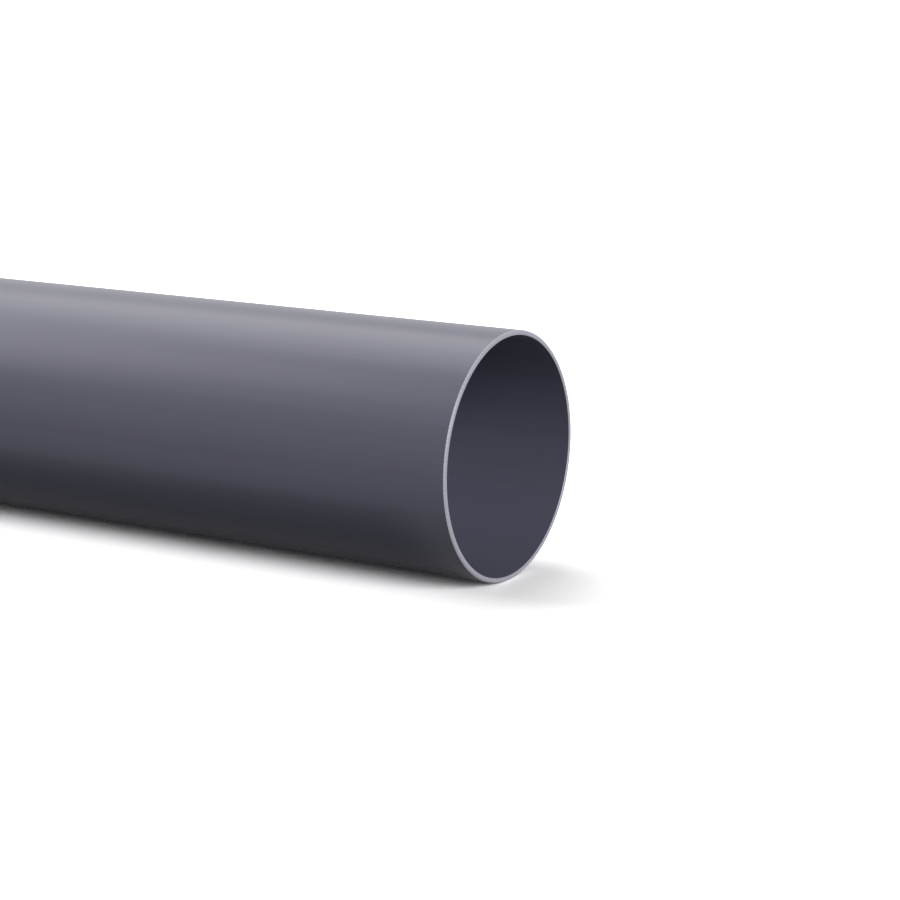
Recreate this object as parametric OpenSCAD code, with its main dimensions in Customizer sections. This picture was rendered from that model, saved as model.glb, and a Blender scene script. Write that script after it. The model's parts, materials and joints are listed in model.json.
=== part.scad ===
// Plain-ended PVC drain pipe, one piece.
//
// The pipe is a single extrusion: a thin, even wall round an open bore, sawn square to length
// and with the edges of both cuts taken off by hand. It lies on a level floor. The pipe's own
// axis runs along X, one outside radius above the floor, and the origin is the floor point
// under the middle of the pipe. Sizes are in millimetres and angles in degrees.

/* [Pipe] */
// Outside diameter, the size that sockets and clips are made to
outside_diameter = 110; // [40:1:315]
// Wall thickness
wall = 2.2; // [1.2:0.1:12]
// Length from one cut face to the other
pipe_length = 1000; // [150:10:6000]

/* [Outside edge of each cut] */
// How far the bevel reaches into the wall, measured along the radius
outer_bevel_depth = 0.6; // [0.1:0.05:0.75]
// Slope of the bevel against the pipe's axis
outer_bevel_angle = 45; // [15:1:60]

/* [Inside edge of each cut] */
// How far the scraped edge reaches into the wall, measured along the radius
inner_bevel_depth = 0.25; // [0.05:0.05:0.4]
// Slope of the scraped edge against the pipe's axis
inner_bevel_angle = 45; // [30:1:60]

/* [Colour] */
// Colour of the extruded PVC
pvc_colour = "#6b6b7c"; // [#6b6b7c:Dark grey, #a9aaa9:Light grey, #f1f1ec:White, #b8623a:Orange brown]

/* [Hidden] */

// Flats round a full turn, where the model is drawn as a mesh
turn_flats = 180;

outside_radius = outside_diameter / 2;
bore_radius = outside_radius - wall;
outer_bevel_length = outer_bevel_depth / tan(outer_bevel_angle);
inner_bevel_length = inner_bevel_depth / tan(inner_bevel_angle);

// One cut end of the wall, from the bore outwards, as points of
// [radius, distance from the cut face]
function cut_end() = [
    [bore_radius, inner_bevel_length],
    [bore_radius + inner_bevel_depth, 0],
    [outside_radius - outer_bevel_depth, 0],
    [outside_radius, outer_bevel_length],
];

// The same end at the other cut, read back from the outside to the bore
function far_end(points) = [
    for (i = [len(points) - 1 : -1 : 0]) [points[i].x, pipe_length - points[i].y]
];

// The wall cut lengthways: a thin strip with a bevel at each of its four corners
module wall_section() {
    polygon(concat(cut_end(), far_end(cut_end())));
}

// The wall's section turned once round the pipe's axis
module extruded_tube() {
    rotate_extrude($fn = turn_flats)
        wall_section();
}

// The pipe, laid down along X with its lowest line on the floor
module pipe() {
    color(pvc_colour)
        translate([-pipe_length / 2, 0, outside_radius])
            rotate([0, 90, 0])
                extruded_tube();
}

pipe();
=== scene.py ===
# %% [markdown]
# # A length of PVC pipe
#
# The object is one piece of stock: a thin, dark grey plastic tube, plain at both ends. It was
# squeezed out of a ring-shaped die, drawn straight while it cooled, and sawn to length. So
# there is very little shape to make, and the lesson is about the things that tell a real pipe
# from a plain cylinder: a wall of the true thickness, sawn ends with their edges scraped off,
# and four finishes that each come from one step of the making.
#
# The frame is the measured model. Every size of the pipe is read from it or from its record, so
# that the pipe drawn here can't drift away from the pipe that was measured.

import json
import math

import bmesh
import bpy
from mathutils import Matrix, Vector


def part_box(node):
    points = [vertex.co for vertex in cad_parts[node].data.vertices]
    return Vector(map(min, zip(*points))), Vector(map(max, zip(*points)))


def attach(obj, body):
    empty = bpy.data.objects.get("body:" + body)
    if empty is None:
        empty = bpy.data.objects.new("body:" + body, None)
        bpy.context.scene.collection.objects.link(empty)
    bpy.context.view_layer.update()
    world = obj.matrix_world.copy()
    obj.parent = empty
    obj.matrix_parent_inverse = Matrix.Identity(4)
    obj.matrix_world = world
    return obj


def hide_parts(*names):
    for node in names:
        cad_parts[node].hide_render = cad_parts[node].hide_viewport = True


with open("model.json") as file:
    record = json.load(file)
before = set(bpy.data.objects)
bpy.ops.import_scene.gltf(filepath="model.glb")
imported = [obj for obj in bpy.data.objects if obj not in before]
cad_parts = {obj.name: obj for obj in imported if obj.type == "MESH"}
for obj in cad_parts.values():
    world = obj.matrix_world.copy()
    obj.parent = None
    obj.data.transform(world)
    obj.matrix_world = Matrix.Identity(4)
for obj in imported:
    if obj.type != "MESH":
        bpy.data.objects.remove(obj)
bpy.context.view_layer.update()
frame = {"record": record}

mm = 0.001
mounts = {mount["name"]: mount["dims"] for mount in frame["record"]["mounts"] if mount["dims"]}
low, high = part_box("pipe")
pipe_length = high.x - low.x
outside_radius = mounts["spigot_right"]["r_mm"] * mm
bore_radius = mounts["bore"]["r_mm"] * mm
diameter = 2 * outside_radius
wall = outside_radius - bore_radius
outer_bevel = (pipe_length - mounts["spigot_right"]["length_mm"] * mm) / 2
inner_bevel = (pipe_length - mounts["bore"]["length_mm"] * mm) / 2
axis_point = Vector((0, 0, outside_radius))
mouth = Vector((high.x, 0, outside_radius))

print(f"pipe {pipe_length / mm:.0f} mm long, {diameter / mm:.0f} mm across,")
print(f"wall {wall / mm:.2f} mm, bevels {outer_bevel / mm:.2f} and {inner_bevel / mm:.2f} mm")

# %% [markdown]
# ## The camera
#
# A long lens held low keeps the two long edges of the pipe nearly parallel and shows the mouth
# as a narrow ellipse. The camera is placed as one would on a tripod: a point to look at, just
# inside the mouth, then a heading, a height and a distance from it. Distances are in pipe
# diameters, so the view stays the same if the pipe's size changes. The lamps are set up by a
# heading and a height too, so both use the same two helpers.


# %% Helpers for aiming
def direction(heading, height):
    """The way to a thing at this heading and height in degrees; 0 is -Y, the front, and 90 is +X."""
    turn, rise = math.radians(heading), math.radians(height)
    level = math.cos(rise)
    return Vector((math.sin(turn) * level, -math.cos(turn) * level, math.sin(rise)))


def aim_back(thing, backwards):
    """Turn a camera or a lamp so that it looks the other way along this direction."""
    thing.rotation_mode = "QUATERNION"
    thing.rotation_quaternion = (-backwards).to_track_quat("-Z", "Y")


# %% Camera
look_at = mouth + Vector((-0.2784, 0, -0.0037)) * diameter
stand_off = 9.594 * diameter
to_camera = direction(heading=31.23, height=12.49)

camera_data = bpy.data.cameras.new("long_lens")
camera_data.lens = 96.45
camera_data.sensor_width = 36
camera_data.clip_start = 0.01
camera_data.clip_end = 100
camera = bpy.data.objects.new("camera", camera_data)
camera.location = look_at + to_camera * stand_off
aim_back(camera, to_camera)
bpy.context.collection.objects.link(camera)
bpy.context.scene.camera = camera
print("camera at", [round(x, 3) for x in camera.location])

# %% [markdown]
# ## The tube
#
# A die makes a pipe by pushing one section along a line. A lathe makes the same shape by turning
# another section round a line, and that suits Blender better here, because the scraped edges at
# the two ends run round the pipe. So the wall is drawn once, as a long thin rectangle of four
# corners, cut across into bays so that no face is a metre long, and spun round the axis. The
# spin merges its last copy with its first, which closes the seam.
#
# A step count that divides by four puts a corner at the top, bottom and both sides, so the
# tube fills the measured box exactly.

# %% Spin the wall
steps_round = 256
bays = 24

tube = bmesh.new()
corners = [
    tube.verts.new((x, 0, outside_radius + radius))
    for x, radius in (
        (low.x, bore_radius),
        (high.x, bore_radius),
        (high.x, outside_radius),
        (low.x, outside_radius),
    )
]
sides = [tube.edges.new((a, b)) for a, b in zip(corners, corners[1:] + corners[:1])]
bmesh.ops.subdivide_edges(tube, edges=[sides[0], sides[2]], cuts=bays - 1)
bmesh.ops.spin(
    tube,
    geom=tube.verts[:] + tube.edges[:],
    cent=axis_point,
    axis=(1, 0, 0),
    angle=math.tau,
    steps=steps_round,
    use_merge=True,
)
bmesh.ops.recalc_face_normals(tube, faces=tube.faces)
print(f"spun {len(tube.faces)} faces, {tube.calc_volume() * 1e6:.1f} cubic centimetres")

# %% [markdown]
# ## The sawn ends
#
# A saw leaves a burr on both edges of a cut. Whoever cuts the pipe takes it off: a wide bevel
# outside, so that the pipe slips into a socket without pushing the seal out, and a lick of the
# knife inside, so that nothing catches on it. A bevel with one segment makes the flat slope that a
# scraper leaves. A second, very fine bevel then softens the corners of that slope, because no
# real corner is perfectly sharp and the softened one catches a thread of light.


# %% Scrape the edges
def end_rings(radius):
    """The edges that run round the pipe at this radius, at its two ends."""
    near = 0.01 * mm
    found = []
    for edge in tube.edges:
        places = [vert.co for vert in edge.verts]
        at_end = all(abs(abs(place.x) - high.x) < near for place in places)
        at_radius = all(abs((place - axis_point).yz.length - radius) < near for place in places)
        if at_end and at_radius:
            found.append(edge)
    return found


def bevel(edges, width, segments):
    """Bevel these edges of the tube."""
    bmesh.ops.bevel(
        tube,
        geom=edges,
        offset=width,
        affect="EDGES",
        segments=segments,
        profile=0.5,
        material=-1,
    )


bevel(end_rings(outside_radius), outer_bevel, segments=1)
bevel(end_rings(bore_radius), inner_bevel, segments=1)

softening = 0.05 * mm
real_corner = math.radians(30)
corner_edges = [edge for edge in tube.edges if edge.calc_face_angle() > real_corner]
bevel(corner_edges, softening, segments=2)
print(f"{len(corner_edges)} corner edges softened, {len(tube.faces)} faces now")

# %% [markdown]
# ## Which finish goes where
#
# One solid carries four finishes: the skin that ran against the cooling sleeve, the bore, the
# sawn faces, and the scraped slopes beside them. Each face is sorted by the way it points and by
# its side of the wall. The faces round the pipe turn by only a degree or so from one to the next
# and are smoothed into each other; a step of more than a few degrees is a real edge and stays.

# %% Sort the faces
SKIN, BORE, SAWN, SCRAPED = range(4)
middle_radius = (outside_radius + bore_radius) / 2
facing_the_end = 0.95
sloping = 0.2
smooth_step = math.radians(5)

for face in tube.faces:
    endways = abs(face.normal.x)
    outer = (face.calc_center_median() - axis_point).yz.length > middle_radius
    if endways > facing_the_end:
        face.material_index = SAWN
    elif endways > sloping:
        face.material_index = SCRAPED
    else:
        face.material_index = SKIN if outer else BORE
    face.smooth = True
for edge in tube.edges:
    edge.smooth = edge.calc_face_angle() < smooth_step

chosen = [face.material_index for face in tube.faces]
counts = [chosen.count(finish) for finish in (SKIN, BORE, SAWN, SCRAPED)]
print("skin, bore, sawn and scraped faces:", counts)

# %% [markdown]
# ## Laying the surface out flat
#
# An exported model carries its finishes as flat images, so each face needs a place of its own on
# a square sheet. A pipe unrolls without any stretch: the skin and the bore become two long
# strips. Each sawn end becomes a strip as well, with the turn round the pipe along it and the
# wall's thickness across it. That one is drawn far wider than it is, because the saw marks have
# to stay readable on a face only two millimetres wide. The seam runs along the bottom.

# %% Unroll the pipe
unrolled = tube.loops.layers.uv.new("OFBake")
edge_gap = 0.01
strips = {
    "skin": (0.010, 0.345),
    "bore": (0.360, 0.680),
    "left": (0.700, 0.835),
    "right": (0.855, 0.990),
}


def between(share, start, end):
    """The value that lies a given share of the way from one to another."""
    return start + share * (end - start)


for face in tube.faces:
    middle = face.calc_center_median() - axis_point
    face_turn = math.atan2(middle.y, middle.z)
    for loop in face.loops:
        arm = loop.vert.co - axis_point
        turn = math.atan2(arm.y, arm.z)
        turn += math.tau * round((face_turn - turn) / math.tau)
        along = (arm.x - low.x) / pipe_length
        around = (turn + math.pi) / math.tau
        inwards = (outside_radius - arm.yz.length) / wall
        if face.material_index in (SKIN, BORE):
            strip = strips["skin" if face.material_index == SKIN else "bore"]
            spot = between(along, edge_gap, 1 - edge_gap), between(around, *strip)
        else:
            strip = strips["left" if middle.x < 0 else "right"]
            spot = between(around, edge_gap, 1 - edge_gap), between(inwards, *strip)
        loop[unrolled].uv = spot
print("strips:", strips)

# %% [markdown]
# ## The pipe as an object
#
# The mesh becomes one object, and two calls tie it to the frame: it rides on the body,
# and the measured solid is hidden, so that this mesh stands in for it.

# %% Make the object
pipe_mesh = bpy.data.meshes.new("extruded_pipe")
tube.to_mesh(pipe_mesh)
tube.free()
pipe = bpy.data.objects.new("extruded_pipe", pipe_mesh)
bpy.context.collection.objects.link(pipe)
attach(pipe, "root")
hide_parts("pipe")
print(f"{pipe.name}: {len(pipe_mesh.polygons)} faces, {len(pipe_mesh.vertices)} corners")

# %% [markdown]
# ## Writing materials as sums
#
# A pattern is arithmetic on the place of a point. `Value` lets that arithmetic be written as
# arithmetic: it wraps the output of a node, and each `+`, `-` or `*` on it adds a Math node.
# `Finish` is one material. Its method `node` adds any other node: its settings first, then a
# value or a link for each socket.


# %% Helpers for materials
class Value:
    """A number, colour or shader that comes out of a node."""

    def __init__(self, finish, socket):
        self.finish, self.socket = finish, socket

    def output(self, name):
        """Another output of the same node."""
        return Value(self.finish, self.socket.node.outputs[name])

    def maths(self, operation, other=0.0):
        """What a Math node makes of this value, alone or with another."""
        return self.finish.node("ShaderNodeMath", {"operation": operation}, {0: self, 1: other})

    def __add__(self, other):
        return self.maths("ADD", other)

    def __sub__(self, other):
        return self.maths("SUBTRACT", other)

    def __rsub__(self, other):
        return self.finish.node("ShaderNodeMath", {"operation": "SUBTRACT"}, {0: other, 1: self})

    def __mul__(self, other):
        return self.maths("MULTIPLY", other)

    __radd__ = __add__
    __rmul__ = __mul__


class Finish:
    """One material or world, built node by node."""

    def __init__(self, owner):
        owner.use_nodes = True
        self.owner, self.tree = owner, owner.node_tree
        self.tree.nodes.clear()

    def node(self, kind, settings=None, sockets=None, output=0):
        """Add a node, set it up, feed its sockets and give back one of its outputs."""
        made = self.tree.nodes.new(kind)
        for name, setting in (settings or {}).items():
            setattr(made, name, setting)
        for name, value in (sockets or {}).items():
            if isinstance(value, Value):
                self.tree.links.new(value.socket, made.inputs[name])
            else:
                made.inputs[name].default_value = value
        return Value(self, made.outputs[output]) if made.outputs else None


# %% [markdown]
# ## Patterns on the pipe
#
# All the patterns read Object coordinates, which are metres on the pipe itself, so they stay put
# when it moves. `grain` is soft noise whose grains have a real size along each axis: made long in
# x and small in y and z, it gives the faint lengthwise streaks that a die leaves. Its detail and
# sharpness say how many finer grains ride on the big ones, and how strongly. `turn_round` is the
# angle round the pipe, for marks that go round an edge. `plastic` puts a colour, a gloss and a
# height together. The height is in millimetres, as one would measure it with a gauge.


# %% Helpers for patterns
def grain(finish, size, detail=2.0, sharpness=0.5):
    """Noise between 0 and 1, with grains of this size along x, y and z in metres."""
    place = finish.node("ShaderNodeTexCoord", output="Object")
    scale = [1 / length for length in size]
    scaled = finish.node("ShaderNodeMapping", {}, {"Vector": place, "Scale": scale})
    return finish.node(
        "ShaderNodeTexNoise",
        {},
        {"Vector": scaled, "Scale": 1.0, "Detail": detail, "Roughness": sharpness},
    )


def turn_round(finish):
    """The angle round the pipe's axis, in radians, with its seam at the bottom."""
    place = finish.node("ShaderNodeTexCoord", output="Object")
    across = finish.node("ShaderNodeSeparateXYZ", {}, {0: place}, output="Y")
    up = across.output("Z") - outside_radius
    return across.maths("ARCTAN2", up)


def wave(angle):
    """A smooth wave between 0 and 1, from an angle in radians."""
    return angle.maths("SINE") * 0.5 + 0.5


def plastic(finish, dark, light, share, roughness, height_mm, gloss):
    """Plastic between two colours, with a roughness and a height that change over it."""
    blend = {0: share, 6: (*dark, 1), 7: (*light, 1)}
    colour = finish.node("ShaderNodeMix", {"data_type": "RGBA"}, blend, output=2)
    normal = finish.node("ShaderNodeBump", {}, {"Height": height_mm, "Distance": mm})
    shader = finish.node(
        "ShaderNodeBsdfPrincipled",
        {},
        {
            "Base Color": colour,
            "Roughness": roughness,
            "Normal": normal,
            "IOR": 1.5,
            "Specular IOR Level": gloss,
        },
    )
    finish.node("ShaderNodeOutputMaterial", {}, {"Surface": shader})
    pipe_mesh.materials.append(finish.owner)
    print(f"{finish.owner.name}: {len(finish.tree.nodes)} nodes")


# %% [markdown]
# ## The skin
#
# Hot plastic leaves the die and is drawn through a polished sleeve that cools it. Small nicks in
# the die and the pull of the haul-off leave streaks along the pipe, a few hundredths of a
# millimetre high at most, and the pigment isn't mixed perfectly, which gives slow clouds a few
# centimetres wide. Under both lies a very fine ripple where the surface froze. The result is
# satin: the highlights are broad and soft, and only what lies close by is mirrored with an edge.

# %% Skin
skin = Finish(bpy.data.materials.new("pvc_skin"))
streaks = grain(skin, size=(0.45, 0.006, 0.006), detail=4.0, sharpness=0.7)
clouds = grain(skin, size=(0.09, 0.04, 0.04))
ripple = grain(skin, size=(0.006, 0.003, 0.003), detail=1.0)
plastic(
    skin,
    dark=(0.134, 0.1335, 0.184),
    light=(0.160, 0.1595, 0.220),
    share=streaks * 1.1 + clouds * 0.6 - 0.35,
    roughness=streaks * 0.04 + ripple * 0.02 + 0.28,
    height_mm=streaks * 0.02 + ripple * 0.004,
    gloss=0.28,
)

# %% [markdown]
# ## The bore
#
# Inside, the plastic ran over the die's core and then cooled in air, touching nothing. Its gloss
# is much like the skin's, but its streaks are plainer, because no sleeve smoothed them. Its colour
# is set a shade lighter than the skin's, as painted light that brightens the inside of the bore.

# %% Bore
bore = Finish(bpy.data.materials.new("pvc_bore"))
streaks = grain(bore, size=(0.45, 0.005, 0.005), detail=4.0, sharpness=0.7)
clouds = grain(bore, size=(0.12, 0.05, 0.05))
plastic(
    bore,
    # A shade lighter than the skin's colours: painted light for the inside of the bore.
    dark=(0.150, 0.152, 0.212),
    light=(0.178, 0.181, 0.250),
    share=streaks * 1.2 + clouds * 0.5 - 0.35,
    roughness=streaks * 0.03 + clouds * 0.01 + 0.28,
    height_mm=streaks * 0.03 + clouds * 0.01,
    gloss=0.28,
)

# %% [markdown]
# ## The sawn face
#
# Cut plastic looks much paler than moulded plastic of the same colour, because its torn surface
# scatters the light before the pigment can soak it up. A round blade leaves arcs about its own
# centre, which lay beside the pipe. So the marks are rings about a point off to one side and
# above, only slivers of which cross the thin wall. A little noise bends them and breaks them up.

# %% Sawn face
sawn = Finish(bpy.data.materials.new("pvc_sawn"))
blade_centre = (0, -0.13, 0.15)
tooth_step = 1.7 * mm
bend = 5

place = sawn.node("ShaderNodeTexCoord", output="Object")
flat_place = sawn.node("ShaderNodeVectorMath", {"operation": "MULTIPLY"}, {0: place, 1: (0, 1, 1)})
from_to = {0: flat_place, 1: blade_centre}
reach = sawn.node("ShaderNodeVectorMath", {"operation": "DISTANCE"}, from_to, output="Value")
torn = grain(sawn, size=(0.003, 0.003, 0.003), detail=3.0)
arcs = wave(reach * (math.tau / tooth_step) + torn * bend)
plastic(
    sawn,
    dark=(0.42, 0.42, 0.49),
    light=(0.56, 0.56, 0.64),
    share=arcs * 0.5 + torn * 0.5,
    roughness=torn * 0.2 + 0.5,
    height_mm=arcs * 0.02 + torn * 0.03,
    gloss=0.4,
)

# %% [markdown]
# ## The scraped edges
#
# A scraper pulled round the edge shaves off a curl, skips a hair's breadth and bites again. That
# chatter is a wave in the angle round the pipe, with a whole number of bites so that it closes
# on itself. The slope it leaves is pale too, and smoother than the sawn face.

# %% Scraped edges
scraped = Finish(bpy.data.materials.new("pvc_scraped"))
bites = 170
wander = 4

shaved = grain(scraped, size=(0.004, 0.004, 0.004))
chatter = wave(turn_round(scraped) * bites + shaved * wander)
plastic(
    scraped,
    dark=(0.42, 0.42, 0.49),
    light=(0.58, 0.58, 0.66),
    share=chatter * 0.5 + shaved * 0.5,
    roughness=shaved * 0.15 + 0.38,
    height_mm=chatter * 0.02 + shaved * 0.01,
    gloss=0.5,
)

# %% [markdown]
# ## The floor
#
# A big white sheet. A studio lights it so strongly that it burns out to plain white everywhere
# but in the depth of the pipe's own shadow. Here that much light would wash out the pipe too, so
# the lamps stay plain, and the camera alone is shown a sheet with a whiteness of more than 1. The
# gloss of the pipe sees an ordinary white one, with a painted dark strip that comes below. To both
# of them the sheet has a faint painted glow, an emission that stands in for the light that wanders
# round a white room, so that the deepest shadow is a very dark grey and not black. The light that
# the sheet throws back up at the pipe is held down, as with grey cards laid just outside the view,
# or the underside of the pipe would lose its depth. Light Path tells the three kinds of ray apart.


# %% Helpers for the stage
def by_ray(finish, for_camera, for_gloss, for_light):
    """One look for the camera, one for reflections and one for the light that a thing gives."""
    rays = finish.node("ShaderNodeLightPath", output="Is Glossy Ray")
    mirrored = rays + rays.output("Is Transmission Ray")
    unseen = finish.node("ShaderNodeMixShader", {}, {0: mirrored, 1: for_light, 2: for_gloss})
    camera_ray = rays.output("Is Camera Ray")
    return finish.node("ShaderNodeMixShader", {}, {0: camera_ray, 1: unseen, 2: for_camera})


def lit_sheet(finish, white, glow=0.0):
    """A matt sheet of this whiteness, which may also have a little painted glow."""
    matt = finish.node("ShaderNodeBsdfDiffuse", {}, {"Color": (white, white, white, 1)})
    shine = finish.node("ShaderNodeEmission", {}, {"Strength": glow})
    return finish.node("ShaderNodeAddShader", {}, {0: matt, 1: shine})


# %% [markdown]
# ## A painted dark reflection beside the pipe
#
# A round thing with a soft gloss gets its edge in a studio from a strip of dark card that lies
# beside it. Here no card is built: a dark strip is painted into the sheet's own material, and only
# the gloss sees it, so it is a painted dark reflection. It lies along the front of the pipe, and
# it draws the dark band with the crisp upper edge on the pipe's underside. The strip's far edge is
# cut clean, and its near edge fades away towards the pipe. Its ends are cut at a slant and fade
# out too, so that the band stops just short of the mouth. The sizes are in pipe diameters. The
# front is the side towards -Y, so the places across the floor that lie in front of the pipe are
# negative.


# %% Shape of the painted dark reflection
def fade(value, start, end):
    """0 where the value is at the start, 1 where it is at the end, and even in between."""
    span = {"Value": value, "From Min": start, "From Max": end}
    return value.finish.node("ShaderNodeMapRange", {}, span)


sheet = Finish(bpy.data.materials.new("white_sheet"))
far_edge = -0.8 * diameter
near_edge_fade = -0.16 * diameter, -0.455 * diameter
end_fade = high.x + 0.08 * diameter, high.x - 0.1 * diameter
end_slant = 0.6

floor_place = sheet.node("ShaderNodeTexCoord", output="Object")
floor_x = sheet.node("ShaderNodeSeparateXYZ", {}, {0: floor_place}, output="X")
floor_y = floor_x.output("Y")
within_reach = floor_y.maths("GREATER_THAN", far_edge)
near_edge = fade(floor_y, *near_edge_fade)
both_ends = fade(floor_x.maths("ABSOLUTE") - floor_y * end_slant, *end_fade)
# The mask of the painted dark reflection: the strip of floor that only the gloss sees dark.
painted_reflection_mask = within_reach * near_edge * both_ends
print(f"the card reaches {-far_edge / mm:.0f} mm out from under the pipe's axis")

# %% White sheet and painted dark reflection
# A faint painted glow on the sheet, standing in for the light that wanders round a white room.
painted_floor_glow = 0.02
camera_look = lit_sheet(sheet, white=2.2, glow=painted_floor_glow)
white_look = lit_sheet(sheet, white=0.9, glow=painted_floor_glow)
# The painted dark reflection: a near-black strip, seen only in the gloss, that darkens the pipe's
# underside.
painted_dark_reflection = lit_sheet(sheet, white=0.09)
gloss_look = sheet.node("ShaderNodeMixShader", {}, {0: painted_reflection_mask, 1: white_look, 2: painted_dark_reflection})
light_look = lit_sheet(sheet, white=0.24)
sheet_look = by_ray(sheet, camera_look, gloss_look, light_look)
sheet.node("ShaderNodeOutputMaterial", {}, {"Surface": sheet_look})
print(f"{sheet.owner.name}: {len(sheet.tree.nodes)} nodes")

# %% [markdown]
# ## Laying the sheet
#
# The sheet is one square, so big that its edges lie far outside any view. It lies a hair's
# breadth under the pipe, because two surfaces at exactly the same height flicker through each
# other.

# %% Floor
half_side = 20
hair = 0.02 * mm
floor_height = low.z - hair

floor_sheet = bmesh.new()
bmesh.ops.create_grid(floor_sheet, x_segments=1, y_segments=1, size=half_side)
bmesh.ops.translate(floor_sheet, verts=floor_sheet.verts, vec=(0, 0, floor_height))
floor_mesh = bpy.data.meshes.new("floor")
floor_sheet.to_mesh(floor_mesh)
floor_sheet.free()
floor_mesh.materials.append(sheet.owner)
floor = bpy.data.objects.new("floor", floor_mesh)
bpy.context.collection.objects.link(floor)
print(f"floor at {floor_height / mm:.2f} mm, {2 * half_side} m square")

# %% [markdown]
# ## The lamps
#
# Three soft lamps stand far away, so each is a sun with a wide disc. One is high behind the pipe:
# it draws the bright band along the top and lays the shadow in front. One stands off the far
# end and fills the front from there. The last is low on the side of the mouth, and it shows the
# pale rim and the inside of the bore.

# %% Lamps
lamps = {
    # name: (heading, height above the horizon and spread in degrees, strength)
    "high_behind": (-128, 56, 45, 1.2),
    "far_end": (-74, 34, 40, 1.2),
    "mouth_side": (70, 22, 30, 2.27),
}
on_floor = 0
for name, (heading, height, spread, strength) in lamps.items():
    to_lamp = direction(heading, height)
    sun_data = bpy.data.lights.new(name, "SUN")
    sun_data.energy = strength
    sun_data.angle = math.radians(spread)
    sun = bpy.data.objects.new(name, sun_data)
    aim_back(sun, to_lamp)
    bpy.context.collection.objects.link(sun)
    on_floor += strength * to_lamp.z / math.pi
print(f"light on the open floor: {on_floor:.2f} times plain white")

# %% [markdown]
# ## The world
#
# Beyond the floor is a white backdrop. It shows to the camera and in the gloss, and gives no
# light of its own, because the lamps already do all the lighting.

# %% World
studio = Finish(bpy.data.worlds.new("white_backdrop"))
bpy.context.scene.world = studio.owner
white_backdrop = studio.node("ShaderNodeBackground", {}, {"Color": (1, 1, 1, 1)})
no_light = studio.node("ShaderNodeBackground", {}, {"Color": (0, 0, 0, 1)})
backdrop_look = by_ray(studio, white_backdrop, white_backdrop, no_light)
studio.node("ShaderNodeOutputWorld", {}, {"Surface": backdrop_look})
print(f"{studio.owner.name}: {len(studio.tree.nodes)} nodes")

# %% [markdown]
# ## Finishing up
#
# The last step sets the colour view to Standard.

# %% Finish
bpy.context.scene.view_settings.view_transform = "Standard"
